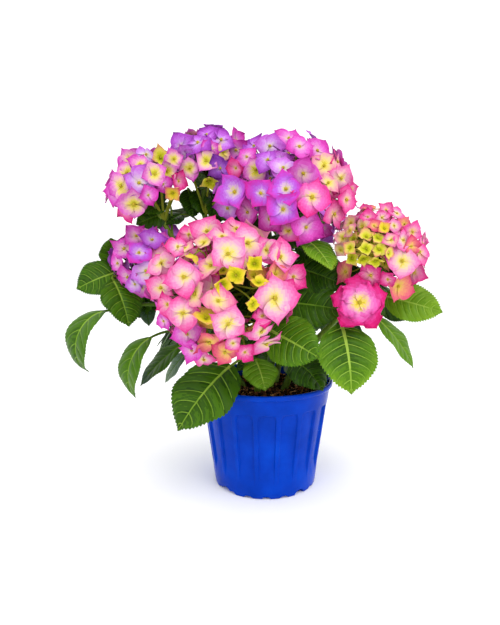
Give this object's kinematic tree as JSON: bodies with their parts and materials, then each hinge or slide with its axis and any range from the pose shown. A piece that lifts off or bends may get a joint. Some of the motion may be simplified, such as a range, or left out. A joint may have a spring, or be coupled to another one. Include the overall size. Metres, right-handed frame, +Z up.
{
  "type": "potted hydrangea shrub",
  "caption": "Mophead hydrangea in full bloom: pink, mauve and violet flower heads on green stems over broad toothed leaves, growing in a fluted blue plastic pot.",
  "frame": {"origin": "middle of the pot's flat underside, on the ground", "axes": "+Z up; -Y is the front, where the largest pink flower head leans out; +X is to the right seen from the front"},
  "size_m": [0.4139, 0.3409, 0.4178],
  "materials": {
    "pot": "glossy blue moulded plastic, lightly scuffed",
    "compost": "damp dark compost with flecks of bark",
    "stems": "smooth green stem with fine lengthwise ridges",
    "leaves": "satin green leaf with pale sunken veins",
    "foliage": "satin dark green leaf with pale sunken veins",
    "petals_pink": "soft matt petal, cream to pink from the eye to the margin",
    "petals_violet": "soft matt petal, pale to violet from the eye to the margin",
    "petals_mauve": "soft matt petal, pale to mauve from the eye to the margin"
  },
  "bodies": {
    "root": {"pot": "pot", "compost": "compost", "stem_front": "stems", "stem_left": "stems", "stem_top_left": "stems", "stem_top_middle": "stems", "stem_top_right": "stems", "stem_right": "stems", "stem_back_left": "stems", "stem_back_right": "stems", "stem_back": "stems", "head_front": "petals_pink", "floret_front_right": "petals_pink", "head_left": "petals_violet", "head_top_left": "petals_mauve", "head_top_middle": "petals_violet", "head_top_right": "petals_mauve", "head_right": "petals_pink", "head_back_left": "petals_mauve", "head_back_right": "petals_violet", "head_back": "petals_pink", "leaf_far_left": "leaves", "leaf_left_hook": "leaves", "leaf_left_low": "leaves", "leaf_left_grey": "leaves", "leaf_front_left": "leaves", "leaf_front_small": "leaves", "leaf_front_under": "leaves", "leaf_front_centre": "leaves", "leaf_front_dark": "leaves", "leaf_front_right": "leaves", "leaf_right_droop": "leaves", "leaf_right_far": "leaves", "leaf_right_under": "leaves", "leaf_centre_pale": "leaves", "leaf_inner_upper": "leaves", "leaf_inner_lower": "leaves", "leaf_left_top": "leaves", "leaf_left_out": "leaves", "leaf_left_front": "leaves", "leaf_left_inner": "leaves", "leaf_top_left": "leaves", "foliage_centre": "foliage", "foliage_centre_right": "foliage", "foliage_left": "foliage", "foliage_right": "foliage", "foliage_back_left": "foliage", "foliage_back_right": "foliage", "foliage_back": "foliage", "foliage_low": "foliage"}
  },
  "joints": []
}
